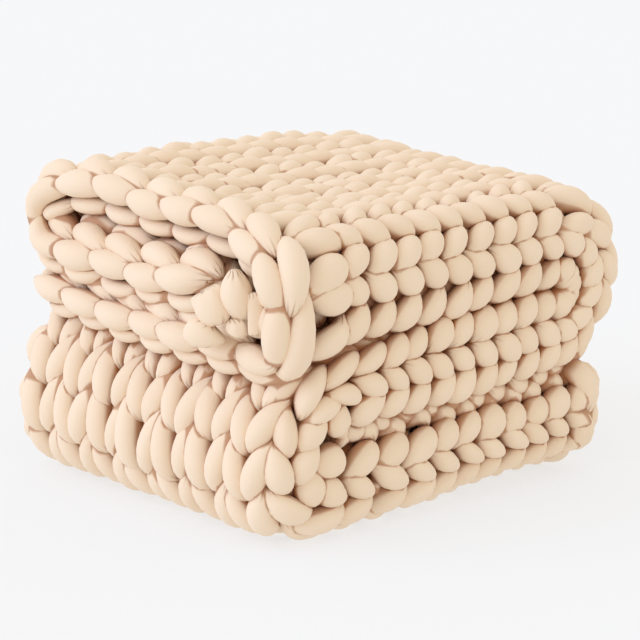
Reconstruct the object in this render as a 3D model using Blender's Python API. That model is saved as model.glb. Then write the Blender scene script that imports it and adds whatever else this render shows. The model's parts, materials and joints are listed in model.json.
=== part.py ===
"""Chunky knitted weighted blanket, folded flat for storage.

The cloth is one piece of stuffed tube yarn in plain knit. It is folded in three across its
width, like a letter, and then in three along its length, like an accordion, so nine layers lie
in a block. A point of the cloth is named by its wale (across), its course (along) and its
distance from the middle of the layer, and `folded_point` says where that point lies.

Axes: X runs across the folded block, Y along it, Z up. The block stands on Z = 0.
"""

import math

import bmesh
import bpy
import numpy as np
from mathutils import Matrix

# ---- Driving sizes, in metres -------------------------------------------------------------
LAYER_PITCH = 0.035          # from the middle of one layer to the middle of the next
LAYER_THICKNESS = 0.031      # knitted layer, pressed by the layers over it
HALF_WIDTH = 0.2145          # block, middle to the outside of its side folds
STACK_PITCH = 3 * LAYER_PITCH
RIB_DEPTH = 0.006            # groove between neighbouring wales on the knit face
RIM_BULGE = 0.007            # how far the rounded rim of a layer stands out

FREE_EDGE_X = 0.090          # edge of the inmost third, short of the side fold
OUTER_EDGE_X = -0.192        # edge of the undermost third, by the far side

TOP_START_Y = -0.234         # free end of the top run
BACK_BEND_Y = 0.148          # centre of the bend between the top and the middle run
FRONT_BEND_Y = -0.136        # centre of the bend between the middle and the bottom run
BOTTOM_END_Y = 0.192         # free end of the bottom run

SIDE_FULLNESS = 2.7          # 2 is a half circle, more is squarer
BEND_FULLNESS = 2.3
FRONT_SAG = 0.034            # how far the foot of the front bend spreads outwards
BACK_LEAN = 0.013            # how far the head of the back bend leans outwards
FREE_END_RISE = 0.010        # rise of the top run towards its free end
LOWER_SEAM = (0.342, 0.342)  # height of the seam between runs, front and back, as a share
UPPER_SEAM = (0.629, 0.664)
CROWN = 0.007                # rise of the top along the far side
HUMP = 0.012                 # further rise there, half way along
FOOT_LIFT = 0.012            # how far the near side's foot is rounded off the floor
END_REACH = 1.0              # courses by which the chain edge stands past the first and last
END_SWELL = 0.006            # how far the chain of the free end stands out over the knit face
FREE_END_BEND = 4.0          # courses over which each end rises or sags
LAST_END_BEND = 3.0
MIDDLE_X = 0.0056            # middle of the block's footprint, which is moved to the origin
MIDDLE_Y = -0.0086

# Across the cloth, from the free edge of the inmost third: wales in the section, and mesh
# steps to a wale, which fall on each wale's crest and on the groove between two wales.
ACROSS = [
    {"name": "inmost_third", "wales": 4.5, "steps_each": 2},
    {"name": "far_side_fold", "wales": 1.0, "steps_each": 6},
    {"name": "top_third", "wales": 6.25, "steps_each": 2},
    {"name": "near_side_fold", "wales": 2.85, "steps_each": 4},
    {"name": "undermost_third", "wales": 6.4, "steps_each": 2},
]

# Along the cloth, from the free end of the top run: courses in the section, mesh steps.
ALONG = [
    {"name": "top_run", "courses": 11.0, "steps": 6},
    {"name": "back_bend", "courses": 6.0, "steps": 9},
    {"name": "middle_run", "courses": 9.0, "steps": 5},
    {"name": "front_bend", "courses": 6.0, "steps": 9},
    {"name": "bottom_run", "courses": 10.0, "steps": 5},
]

# How the two ends of the cloth lie, by wale: courses drawn back, and metres risen or sagged.
FREE_END = [
    {"wale": 0.0, "drawn_back": 0.40, "rise": -0.002},
    {"wale": 1.5, "drawn_back": 0.40, "rise": -0.009},
    {"wale": 3.5, "drawn_back": 0.45, "rise": -0.011},
    {"wale": 4.5, "drawn_back": 0.60, "rise": -0.012},
    {"wale": 5.5, "drawn_back": 0.60, "rise": -0.002},
    {"wale": 6.5, "drawn_back": 0.85, "rise": 0.008},
    {"wale": 10.5, "drawn_back": 0.95, "rise": 0.009},
    {"wale": 12.5, "drawn_back": 0.55, "rise": -0.012},
    {"wale": 14.5, "drawn_back": 0.55, "rise": -0.015},
    {"wale": 16.0, "drawn_back": 0.42, "rise": -0.015},
    {"wale": 18.5, "drawn_back": 0.40, "rise": -0.016},
    {"wale": 21.0, "drawn_back": 0.70, "rise": -0.014},
]
LAST_END = [
    {"wale": 0.0, "drawn_back": 0.30, "rise": 0.000},
    {"wale": 8.0, "drawn_back": 0.30, "rise": 0.000},
    {"wale": 11.5, "drawn_back": 0.30, "rise": 0.008},
    {"wale": 13.0, "drawn_back": 0.40, "rise": 0.004},
    {"wale": 14.5, "drawn_back": 0.60, "rise": 0.000},
    {"wale": 21.0, "drawn_back": 0.60, "rise": 0.000},
]

# The two gathered ends of the yarn, standing in the mouth of the free end by its near corner.
YARN_ENDS = [
    {
        "name": "yarn_end_outer", "x": 0.1166, "y": -0.2516, "radius": 0.0175,
        "length": 0.050, "lean": 1.5,
    },
    {
        "name": "yarn_end_inner", "x": 0.1500, "y": -0.2456, "radius": 0.0150,
        "length": 0.064, "lean": -3.0,
    },
]
# Outline of a gathered end, from its pinched root to its puckered tip: share of length, of radius.
END_OUTLINE = [
    {"along": 0.04, "radius": 0.42},
    {"along": 0.14, "radius": 0.74},
    {"along": 0.30, "radius": 0.96},
    {"along": 0.50, "radius": 1.00},
    {"along": 0.70, "radius": 0.97},
    {"along": 0.86, "radius": 0.82},
    {"along": 0.97, "radius": 0.50},
]
END_SIDES = 16
CLEARANCE = 0.0004

SAND = (0.82, 0.67, 0.52, 1.0)

# ---- Lengths that follow from the driving sizes --------------------------------------------
BEND_RADIUS = 1.5 * LAYER_PITCH
SIDE_CENTRE_X = HALF_WIDTH - 1.5 * LAYER_PITCH
FAR_CENTRE_X = -(HALF_WIDTH - LAYER_PITCH)
ACROSS_LENGTHS = [
    FREE_EDGE_X - FAR_CENTRE_X,
    math.pi * LAYER_PITCH / 2,
    SIDE_CENTRE_X - FAR_CENTRE_X,
    math.pi * LAYER_PITCH,
    SIDE_CENTRE_X - OUTER_EDGE_X,
]
ALONG_LENGTHS = [
    BACK_BEND_Y - TOP_START_Y,
    math.pi * BEND_RADIUS,
    BACK_BEND_Y - FRONT_BEND_Y,
    math.pi * BEND_RADIUS,
    BOTTOM_END_Y - FRONT_BEND_Y,
]
WALE_MARKS = np.concatenate([[0.0], np.cumsum([row["wales"] for row in ACROSS])])
COURSE_MARKS = np.concatenate([[0.0], np.cumsum([row["courses"] for row in ALONG])])
ACROSS_MARKS = np.concatenate([[0.0], np.cumsum(ACROSS_LENGTHS)])
ALONG_MARKS = np.concatenate([[0.0], np.cumsum(ALONG_LENGTHS)])


def arc_length(count, marks, lengths):
    """Length along the cloth at a wale or course count, carried on straight past its ends."""
    inside = np.interp(count, marks, lengths)
    first = (lengths[1] - lengths[0]) / (marks[1] - marks[0])
    last = (lengths[-1] - lengths[-2]) / (marks[-1] - marks[-2])
    before = lengths[0] + (count - marks[0]) * first
    after = lengths[-1] + (count - marks[-1]) * last
    return np.where(count < marks[0], before, np.where(count > marks[-1], after, inside))


def fullness(side, up, power):
    """Push a half circle out towards a half square, keeping its ends where they are."""
    radius = np.hypot(side, up) + 1e-9
    share = (np.abs(side / radius) + 1e-9) ** power + np.abs(up / radius) ** power
    scale = share ** (-1.0 / power)
    return side * scale, up * scale


def smooth_step(low, high, value):
    """Ease from 0 to 1 between two values."""
    share = np.clip((value - low) / (high - low), 0.0, 1.0)
    return share * share * (3.0 - 2.0 * share)


def across_section(wale, offset):
    """Fold in three across: X, and the height over the middle layer, of a point."""
    length = arc_length(wale, WALE_MARKS, ACROSS_MARKS)
    marks = ACROSS_MARKS
    x = FREE_EDGE_X - length
    height = -offset
    far = (length > marks[1]) & (length <= marks[2])
    angle = (length - marks[1]) / (LAYER_PITCH / 2)
    reach = LAYER_PITCH / 2 + offset
    x = np.where(far, FAR_CENTRE_X - reach * np.sin(angle), x)
    height = np.where(far, LAYER_PITCH / 2 - reach * np.cos(angle), height)
    top = (length > marks[2]) & (length <= marks[3])
    x = np.where(top, FAR_CENTRE_X + length - marks[2], x)
    height = np.where(top, LAYER_PITCH + offset, height)
    near = (length > marks[3]) & (length <= marks[4])
    angle = (length - marks[3]) / LAYER_PITCH
    reach = LAYER_PITCH + offset
    side, up = fullness(reach * np.sin(angle), reach * np.cos(angle), SIDE_FULLNESS)
    x = np.where(near, SIDE_CENTRE_X + side, x)
    height = np.where(near, up, height)
    under = length > marks[4]
    x = np.where(under, SIDE_CENTRE_X - (length - marks[4]), x)
    height = np.where(under, -LAYER_PITCH - offset, height)
    return x, height


def along_section(course, height):
    """Fold in three along: Y and Z of a point, given its height over the middle layer."""
    length = arc_length(course, COURSE_MARKS, ALONG_MARKS)
    marks = ALONG_MARKS
    y = TOP_START_Y + length
    z = 2.5 * STACK_PITCH + height
    back = (length > marks[1]) & (length <= marks[2])
    angle = (length - marks[1]) / BEND_RADIUS
    reach = BEND_RADIUS + height
    side, up = fullness(reach * np.sin(angle), reach * np.cos(angle), BEND_FULLNESS)
    y = np.where(back, BACK_BEND_Y + side, y)
    z = np.where(back, 2 * STACK_PITCH + up, z)
    middle = (length > marks[2]) & (length <= marks[3])
    y = np.where(middle, BACK_BEND_Y - (length - marks[2]), y)
    z = np.where(middle, 1.5 * STACK_PITCH - height, z)
    front = (length > marks[3]) & (length <= marks[4])
    angle = (length - marks[3]) / BEND_RADIUS
    reach = BEND_RADIUS - height
    side, up = fullness(reach * np.sin(angle), reach * np.cos(angle), BEND_FULLNESS)
    y = np.where(front, FRONT_BEND_Y - side, y)
    z = np.where(front, STACK_PITCH + up, z)
    bottom = length > marks[4]
    y = np.where(bottom, FRONT_BEND_Y + length - marks[4], y)
    z = np.where(bottom, 0.5 * STACK_PITCH + height, z)
    return y, z


def settle(x, y, z):
    """Weight of the block: runs of unequal height, a spread foot, a soft crown and sway."""
    total = 3 * STACK_PITCH
    share = smooth_step(FRONT_BEND_Y, BACK_BEND_Y, y)
    lower = total * (LOWER_SEAM[0] + (LOWER_SEAM[1] - LOWER_SEAM[0]) * share)
    upper = total * (UPPER_SEAM[0] + (UPPER_SEAM[1] - UPPER_SEAM[0]) * share)
    level = z / STACK_PITCH
    low = level * lower
    mid = lower + (level - 1.0) * (upper - lower)
    high = upper + (level - 2.0) * (total - upper)
    z_new = np.where(level < 1.0, low, np.where(level < 2.0, mid, high))
    spread = np.interp(level, [0.0, 1.0, 1.9, 2.4], [1.0, 0.5, -0.1, 0.0])
    foot = 1.0 - smooth_step(FRONT_BEND_Y - 0.06, FRONT_BEND_Y + 0.12, y)
    lean = np.interp(level, [0.9, 1.15, 1.6, 2.0, 3.0], [0.0, -2.0, -0.7, 0.2, 1.0])
    head = smooth_step(BACK_BEND_Y - 0.03, BACK_BEND_Y + 0.08, y)
    y_new = y - FRONT_SAG * spread * foot + BACK_LEAN * lean * head
    lift = np.clip(level / 3.0, 0.0, 1.0) ** 2
    rise = np.clip(level - 2.0, 0.0, 1.0) * (1.0 - smooth_step(TOP_START_Y, 0.06, y))
    z_new = z_new + FREE_END_RISE * rise
    hump = smooth_step(-0.30, -0.06, y) * (1.0 - smooth_step(0.04, 0.18, y))
    far_side = lift * (1.0 - smooth_step(-0.20, 0.02, x))
    z_new = z_new + (CROWN + HUMP * hump) * far_side
    z_new = z_new + FOOT_LIFT * np.clip(1.0 - 1.3 * level, 0.0, 1.0) * smooth_step(0.08, 0.21, x)
    z_new = z_new - 0.5 * CROWN * lift * np.exp(-((x - 0.05) / 0.07) ** 2)
    x_new = x + 0.0035 * np.sin(9.0 * z_new + 5.0 * y) * np.clip(z_new / 0.1, 0.0, 1.0)
    y_new = y_new + 0.0030 * np.sin(8.0 * x + 2.0) * np.clip(z_new / 0.1, 0.0, 1.0)
    return x_new, y_new, z_new


def column(rows, name):
    """One named column of a table."""
    return [row[name] for row in rows]


def drawn_back(wale, last):
    """Courses by which the free end, or the last one, is drawn back at a wale."""
    rows = LAST_END if last else FREE_END
    return np.interp(wale, column(rows, "wale"), column(rows, "drawn_back"))


def end_rise(wale, course):
    """How far a point near either end of the cloth has risen or sagged."""
    total = 0.0
    for rows, last, bend in ((FREE_END, False, FREE_END_BEND), (LAST_END, True, LAST_END_BEND)):
        inside = COURSE_MARKS[-1] - course if last else course
        near = (bend + drawn_back(wale, last) - inside) / bend
        rise = np.interp(wale, column(rows, "wale"), column(rows, "rise"))
        total = total + rise * np.clip(near, 0.0, 1.18) ** 3
    return total


def folded_point(wale, course, offset):
    """Where a point of the cloth lies in the folded block."""
    wale = np.asarray(wale, dtype=float)
    course = np.asarray(course, dtype=float)
    offset = np.asarray(offset, dtype=float)
    x, height = across_section(wale, offset)
    y, z = along_section(course, height)
    x, y, z = settle(x, y, z)
    z = z + end_rise(wale, course)
    floor_gap = (LAYER_PITCH - LAYER_THICKNESS) / 2 * LOWER_SEAM[0] * 3
    return np.stack([x - MIDDLE_X, y - MIDDLE_Y, np.maximum(z - floor_gap, 0.0)], axis=-1)


def wale_counts():
    """Wale counts at which the mesh is divided: every crest and groove, and more in a fold."""
    counts = [0.0]
    for row, start, end in zip(ACROSS, WALE_MARKS, WALE_MARKS[1:]):
        each = row["steps_each"]
        for step in range(math.ceil(start * each), math.floor(end * each) + 1):
            if step / each - counts[-1] > 0.1:
                counts.append(step / each)
    return np.array(counts)


def course_counts():
    """Course counts at which the mesh is divided, with a further row at each end's chain."""
    counts = [0.0]
    for row in ALONG:
        start = counts[-1]
        for step in range(1, row["steps"] + 1):
            counts.append(start + row["courses"] * step / row["steps"])
    return np.array([-END_REACH] + counts + [counts[-1] + END_REACH])


def uneven(wale, course):
    """Course of a mesh point, once the rows nearest to an end have been drawn back with it."""
    last = COURSE_MARKS[-1]
    first_share = np.clip(1.0 - course / 1.5, 0.0, 1.0)
    last_share = np.clip(1.0 - (last - course) / 1.5, 0.0, 1.0)
    moved = drawn_back(wale, False) * first_share - drawn_back(wale, True) * last_share
    return course + moved


def rib_offset(wale, course):
    """Distance of the knit face from the middle of the layer: full on a wale, less between.

    Under the block the face is left smooth, and at the free end it swells into the chain.
    """
    ridge = np.abs(np.sin(math.pi * wale)) ** 0.8
    rests = (course > COURSE_MARKS[4] - 1.5) & (wale > WALE_MARKS[4] - 0.4)
    groove = np.where(rests, 0.0, RIB_DEPTH * (1.0 - ridge))
    swell = END_SWELL * np.clip(1.0 - (course - drawn_back(wale, False)) / 1.5, 0.0, 1.0)
    return LAYER_THICKNESS / 2 - groove + swell


def plain_material(name, colour, roughness):
    """A Principled material of one colour."""
    material = bpy.data.materials.new(name)
    material.use_nodes = True
    shader = material.node_tree.nodes["Principled BSDF"]
    shader.inputs["Base Color"].default_value = colour
    shader.inputs["Roughness"].default_value = roughness
    shader.inputs["Metallic"].default_value = 0.0
    material.diffuse_color = colour
    return material


def add_object(bm, name, material, parent):
    """Finish a mesh and hang it on the part's empty."""
    bmesh.ops.recalc_face_normals(bm, faces=bm.faces)
    mesh = bpy.data.meshes.new(name)
    bm.to_mesh(mesh)
    bm.free()
    mesh.shade_smooth()
    mesh.materials.append(material)
    body = bpy.data.objects.new(name, mesh)
    bpy.context.scene.collection.objects.link(body)
    body.parent = parent
    return body


def build_cloth(parent):
    """The knitted cloth: one closed sheet, folded both ways, with ribs and rounded rims."""
    wales = wale_counts()
    courses = course_counts()
    bm = bmesh.new()
    bmesh.ops.create_grid(bm, x_segments=len(wales) - 1, y_segments=len(courses) - 1, size=1.0)
    place = bm.verts.layers.float_vector.new("place")
    for vert in bm.verts:
        column = round((vert.co.x + 1.0) / 2.0 * (len(wales) - 1))
        row = round((vert.co.y + 1.0) / 2.0 * (len(courses) - 1))
        vert[place] = (wales[column], courses[row], -1.0)
    grown = bmesh.ops.extrude_face_region(bm, geom=bm.faces[:], use_keep_orig=True)
    for item in grown["geom"]:
        if isinstance(item, bmesh.types.BMVert):
            item[place].z = 1.0
    rim = [edge for edge in bm.edges if edge.verts[0][place].z * edge.verts[1][place].z < 0.0]
    cut = bmesh.ops.subdivide_edges(bm, edges=rim, cuts=1)
    for item in cut["geom_inner"]:
        if isinstance(item, bmesh.types.BMVert):
            item[place].z = 0.0
    for vert in bm.verts:
        wale, course, side = vert[place]
        course = uneven(wale, course)
        if side > 0.5:
            offset = float(rib_offset(np.float64(wale), np.float64(course)))
        elif side < -0.5:
            offset = -LAYER_THICKNESS / 2
        else:
            offset = 0.0
            wale, course = rim_place(wale, course, wales, vert[place].y, courses)
        vert.co = folded_point(wale, course, offset)
    return add_object(bm, "knit_cloth", plain_material("sand_knit", SAND, 0.85), parent)


def rim_place(wale, course, wales, row, courses):
    """Move the middle of the rim out past the last wale or row, so that it is rounded."""
    wale_step = RIM_BULGE / (ACROSS_LENGTHS[0] / ACROSS[0]["wales"])
    course_step = RIM_BULGE / (ALONG_LENGTHS[0] / ALONG[0]["courses"])
    if abs(wale - wales[0]) < 1e-4:
        wale -= wale_step
    elif abs(wale - wales[-1]) < 1e-4:
        wale += wale_step
    if abs(row - courses[0]) < 1e-4:
        course -= course_step
    elif abs(row - courses[-1]) < 1e-4:
        course += course_step
    return wale, course


def build_yarn_end(row, parent):
    """A gathered end of the stuffed yarn, standing on the undermost third's chain."""
    bm = bmesh.new()
    rings = []
    for step in END_OUTLINE:
        ring = bmesh.ops.create_circle(
            bm, cap_ends=False, segments=END_SIDES, radius=row["radius"] * step["radius"]
        )["verts"]
        for vert in ring:
            vert.co.z += row["length"] * (0.5 - step["along"])
        rings.append(ring)
    for lower, upper in zip(rings, rings[1:]):
        loops = [edges_of(lower), edges_of(upper)]
        bmesh.ops.bridge_loops(bm, edges=loops[0] + loops[1])
    bmesh.ops.holes_fill(bm, edges=edges_of(rings[0]) + edges_of(rings[-1]), sides=END_SIDES)
    lean = math.radians(row["lean"])
    bmesh.ops.rotate(bm, verts=bm.verts, cent=(0.0, 0.0, 0.0), matrix=Matrix.Rotation(lean, 3, "Y"))
    lift = seat_height(row) + 0.5 * row["length"] + CLEARANCE
    bmesh.ops.translate(bm, verts=bm.verts, vec=(row["x"] - MIDDLE_X, row["y"] - MIDDLE_Y, lift))
    return add_object(bm, row["name"], plain_material("sand_" + row["name"], SAND, 0.85), parent)


def seat_height(row):
    """Height of the undermost third's upper face at its highest place under a yarn end."""
    half = 0.7 * row["radius"]
    heights = []
    for x in (row["x"] - half, row["x"], row["x"] + half):
        wale = WALE_MARKS[4] + (SIDE_CENTRE_X - x) / ACROSS_LENGTHS[4] * ACROSS[4]["wales"]
        for y in (row["y"] - half, row["y"], row["y"] + half):
            course = (y - TOP_START_Y) / ALONG_LENGTHS[0] * ALONG[0]["courses"]
            heights.append(folded_point(wale, course, -LAYER_THICKNESS / 2)[2])
    return max(heights)


def edges_of(ring):
    """Edges that join the points of one ring."""
    points = set(ring)
    return list({edge for vert in ring for edge in vert.link_edges if edge.other_vert(vert) in points})


def main():
    """Clear the scene and build the folded blanket."""
    for item in list(bpy.data.objects):
        bpy.data.objects.remove(item, do_unlink=True)
    root = bpy.data.objects.new("weighted_blanket", None)
    bpy.context.scene.collection.objects.link(root)
    build_cloth(root)
    for row in YARN_ENDS:
        build_yarn_end(row, root)


main()
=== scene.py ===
"""Chunky knitted weighted blanket, folded into a block: its stitches, chain edges and yarn ends.

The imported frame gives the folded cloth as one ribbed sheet. This script lays the knit over it,
strand by strand, in a soft stuffed tube yarn. A place in the cloth is its wale (across), its
course (along) and its distance out from the middle of the layer, and `Fold.place` carries it
into the folded block. Metres, +Z up, the block on the floor at Z = 0.
"""

import json
import logging
import math
from dataclasses import astuple, dataclass, field
from enum import Enum

import bmesh
import bpy
import numpy as np
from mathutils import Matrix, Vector
from mathutils.kdtree import KDTree

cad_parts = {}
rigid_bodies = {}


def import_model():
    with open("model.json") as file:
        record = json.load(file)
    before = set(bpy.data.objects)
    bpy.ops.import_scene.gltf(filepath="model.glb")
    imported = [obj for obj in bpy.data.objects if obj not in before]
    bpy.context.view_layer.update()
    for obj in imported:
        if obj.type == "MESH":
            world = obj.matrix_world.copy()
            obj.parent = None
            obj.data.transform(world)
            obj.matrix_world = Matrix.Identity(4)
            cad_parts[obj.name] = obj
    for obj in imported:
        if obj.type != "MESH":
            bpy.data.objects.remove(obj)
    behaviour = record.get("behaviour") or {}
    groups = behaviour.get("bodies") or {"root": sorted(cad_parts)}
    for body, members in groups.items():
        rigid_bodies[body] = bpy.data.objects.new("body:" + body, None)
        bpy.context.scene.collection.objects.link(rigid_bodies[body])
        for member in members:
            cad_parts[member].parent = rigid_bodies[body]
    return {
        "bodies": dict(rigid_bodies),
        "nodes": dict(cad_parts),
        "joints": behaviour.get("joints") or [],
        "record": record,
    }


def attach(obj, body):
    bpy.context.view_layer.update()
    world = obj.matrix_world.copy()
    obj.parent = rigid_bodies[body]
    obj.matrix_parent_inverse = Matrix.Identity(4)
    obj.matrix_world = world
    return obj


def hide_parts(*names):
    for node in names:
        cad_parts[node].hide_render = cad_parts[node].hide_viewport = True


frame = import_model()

log = logging.getLogger("blanket")
WALES = 21
COURSES = 42
TINY = 1e-9  # keeps a division from failing
NEAR_POLE = 1e-4  # how far a ball's pole may lie from its axis

Array = np.ndarray
Colour = tuple[float, float, float, float]
Zone = tuple[float, float]  # where something comes in, from none of it to all of it
Knots = tuple[tuple[float, float], ...]  # places, and how much of something there


# ---- Shared steps
def unit(vectors: Array) -> Array:
    """The same directions with length 1."""
    return vectors / (np.linalg.norm(vectors, axis=-1, keepdims=True) + TINY)


def rows(parts: tuple) -> Array:
    """The numbers of rings or sections, one row for each."""
    return np.array([astuple(part) for part in parts])


def turned(point: Vector) -> float:
    """How far round a ball a point lies, from 0 to 1."""
    return math.atan2(point.y, point.x) / math.tau % 1.0


def down(point: Vector) -> float:
    """How far down a ball of radius 1 a point lies, from 0 at the top to 1."""
    return math.acos(max(-1.0, min(1.0, point.z))) / math.pi


def made_mesh(bm: bmesh.types.BMesh, name: str) -> bpy.types.Mesh:
    """Turn a bmesh into a mesh, and free it.

    Args:
        bm: The bmesh.
        name: The mesh's name.

    Returns:
        The mesh.
    """
    mesh = bpy.data.meshes.new(name)
    bm.to_mesh(mesh)
    bm.free()
    return mesh


def put(name: str, data: bpy.types.ID) -> bpy.types.Object:
    """Put a mesh, a light or a camera in the scene.

    Args:
        name: The object's name.
        data: What it holds.

    Returns:
        The object.
    """
    thing = bpy.data.objects.new(name, data)
    bpy.context.scene.collection.objects.link(thing)
    return thing


# ---- The fold
@dataclass(frozen=True)
class EndMark:
    """How an end of the cloth lies at one wale."""

    wale: float
    drawn_back: float  # courses
    rise: float  # metres


@dataclass(frozen=True)
class Fold:
    """The letter fold across and the accordion fold along, as in the frame's solids."""

    layer_pitch: float = 0.035
    layer_thickness: float = 0.031
    half_width: float = 0.2145
    free_edge_x: float = 0.090
    outer_edge_x: float = -0.192
    top_start_y: float = -0.234
    back_bend_y: float = 0.148
    front_bend_y: float = -0.136
    bottom_end_y: float = 0.192
    side_fullness: float = 2.7  # 2 is a round bend, more is squarer
    bend_fullness: float = 2.3
    seam_fullness: float = 4.2  # the near side is squarer where one run lies on another,
    seam_press: float = 0.25  # and is pressed against it
    floor_run: Zone = (23.0, 27.0)  # courses over which the run on the floor comes in,
    covered_run: Zone = (16.0, 20.0)  # and the runs that carry another
    lower_seam: float = 0.342  # share of the height
    upper_seam: tuple[float, float] = (0.629, 0.664)  # at the front and at the back
    front_sag: float = 0.034
    front_levels: Knots = ((0.0, 1.0), (0.35, 1.08), (1.0, 0.5), (1.9, -0.1), (2.4, 0.0))
    front_zone: Zone = (-0.196, -0.016)
    back_lean: float = 0.013
    back_levels: Knots = ((0.9, 0.0), (1.15, -2.3), (1.6, -1.1), (2.0, 0.0), (3.0, 1.0))
    back_zone: Zone = (0.118, 0.228)
    free_end_rise: float = 0.010
    rise_zone: Zone = (-0.234, 0.06)
    crown: float = 0.007
    crown_zone: Zone = (-0.20, 0.02)
    hump: float = 0.012
    hump_zones: tuple[Zone, Zone] = ((-0.30, -0.06), (0.04, 0.18))  # where it starts and ends
    dip: tuple[float, float] = (0.05, 0.07)  # middle and width of the hollow in the crown
    foot_lift: float = 0.018
    foot_fade: float = 1.3  # how fast the lift fades with height, for each run
    foot_front: float = 0.05  # share of the lift that is left at the front
    foot_zones: tuple[Zone, Zone] = ((0.08, 0.21), (-0.18, 0.10))  # in X and in Y
    shoulder: float = 0.009
    shoulder_zones: tuple[Zone, Zone] = ((0.04, 0.20), (0.10, 0.24))  # in X and in Y
    sway: tuple[float, float] = (0.0035, 0.0030)  # in X and in Y
    sway_height: float = 0.1  # height at which the block sways in full
    middle: tuple[float, float] = (0.0056, -0.0086)
    floor_softness: float = 0.0015
    free_end: tuple[EndMark, ...] = (
        EndMark(0.0, 0.4, -0.002),
        EndMark(1.5, 0.4, -0.009),
        EndMark(3.5, 0.45, -0.011),
        EndMark(4.5, 0.6, -0.012),
        EndMark(5.5, 0.6, -0.002),
        EndMark(6.5, 0.85, 0.008),
        EndMark(10.5, 0.95, 0.009),
        EndMark(12.5, 0.55, -0.012),
        EndMark(14.5, 0.55, -0.015),
        EndMark(16.0, 0.42, -0.015),
        EndMark(18.5, 0.4, -0.016),
        EndMark(21.0, 0.7, -0.014),
    )
    last_end: tuple[EndMark, ...] = (
        EndMark(0.0, 0.3, 0.0),
        EndMark(8.0, 0.3, 0.0),
        EndMark(11.5, 0.3, 0.008),
        EndMark(13.0, 0.4, 0.004),
        EndMark(14.5, 0.6, 0.0),
        EndMark(21.0, 0.6, 0.0),
    )
    free_end_bend: float = 4.0  # courses over which each end rises or sags
    last_end_bend: float = 3.0
    end_limit: float = 1.18  # how far past its bend an end goes on rising
    # Wales of the inmost third, far fold, top third, near fold and undermost third.
    wales: tuple[float, ...] = (4.5, 1.0, 6.25, 2.85, 6.4)
    # Courses of the top run, back bend, middle run, front bend and bottom run.
    courses: tuple[float, ...] = (11.0, 6.0, 9.0, 6.0, 10.0)
    wale_marks: Array = field(init=False)
    course_marks: Array = field(init=False)
    across_marks: Array = field(init=False)
    along_marks: Array = field(init=False)

    def __post_init__(self) -> None:
        """Work out where each stretch of the cloth begins, in counts and in metres."""
        far, side, turn = self.far_centre_x, self.side_centre_x, math.pi * self.layer_pitch
        back, front, bend = self.back_bend_y, self.front_bend_y, math.pi * self.bend_radius
        for name, steps in (
            ("wale_marks", self.wales),
            ("course_marks", self.courses),
            (
                "across_marks",
                (self.free_edge_x - far, turn / 2, side - far, turn, side - self.outer_edge_x),
            ),
            (
                "along_marks",
                (back - self.top_start_y, bend, back - front, bend, self.bottom_end_y - front),
            ),
        ):
            object.__setattr__(self, name, np.concatenate([[0.0], np.cumsum(steps)]))

    @property
    def stack_pitch(self) -> float:
        """Height of one run of three layers before the block settles."""
        return 3 * self.layer_pitch

    @property
    def bend_radius(self) -> float:
        """Radius of the accordion bends at the middle layer."""
        return 1.5 * self.layer_pitch

    @property
    def side_centre_x(self) -> float:
        """Centre of the side fold that holds all three layers."""
        return self.half_width - 1.5 * self.layer_pitch

    @property
    def far_centre_x(self) -> float:
        """Centre of the far fold between the inmost and the top third."""
        return -(self.half_width - self.layer_pitch)

    @staticmethod
    def arc(count: Array, marks: Array, lengths: Array) -> Array:
        """Length along the cloth at a count of wales or courses, straight on past its ends.

        Args:
            count: Wale or course counts.
            marks: Counts at which the stretches begin and end.
            lengths: Lengths at those counts.

        Returns:
            Lengths in metres.
        """
        first = (lengths[1] - lengths[0]) / (marks[1] - marks[0])
        last = (lengths[-1] - lengths[-2]) / (marks[-1] - marks[-2])
        before = lengths[0] + (count - marks[0]) * first
        after = lengths[-1] + (count - marks[-1]) * last
        inside = np.interp(count, marks, lengths)
        return np.where(count < marks[0], before, np.where(count > marks[-1], after, inside))

    @staticmethod
    def fill_out(side: Array, up: Array, fullness: "float | Array") -> tuple[Array, Array]:
        """Push a half circle out towards a half square, keeping its ends where they are.

        Args:
            side: How far out each place lies.
            up: How high each lies.
            fullness: 2 for a circle, more for a squarer form.

        Returns:
            The new side and height.
        """
        radius = np.hypot(side, up) + TINY
        share = (np.abs(side / radius) + TINY) ** fullness + np.abs(up / radius) ** fullness
        scale = share ** (-1.0 / fullness)
        return side * scale, up * scale

    @staticmethod
    def bend(length: Array, start: float, radius: float, out: Array) -> tuple[Array, Array]:
        """Side and height, from the bend's middle, of places at a distance outside its radius."""
        angle = (length - start) / radius
        return (radius + out) * np.sin(angle), (radius + out) * np.cos(angle)

    @staticmethod
    def pick(length: Array, marks: Array, stretches: tuple) -> tuple[Array, ...]:
        """Take each place from the stretch of the cloth that it lies in."""
        stretch = np.searchsorted(marks[1:-1], length)
        return tuple(np.choose(stretch, choices) for choices in zip(*stretches))

    @staticmethod
    def ease(zone: Zone, value: Array) -> Array:
        """Ease from 0 to 1 over a zone of a value."""
        share = np.clip((value - zone[0]) / (zone[1] - zone[0]), 0.0, 1.0)
        return share * share * (3.0 - 2.0 * share)

    def pressed(self, course: Array, up: Array) -> Array:
        """1 where the near side of a run is pressed on the next run, 0 where it is free."""
        under = (up < 0.0) * (1.0 - self.ease(self.floor_run, course))
        return under + (up >= 0.0) * self.ease(self.covered_run, course)

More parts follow.
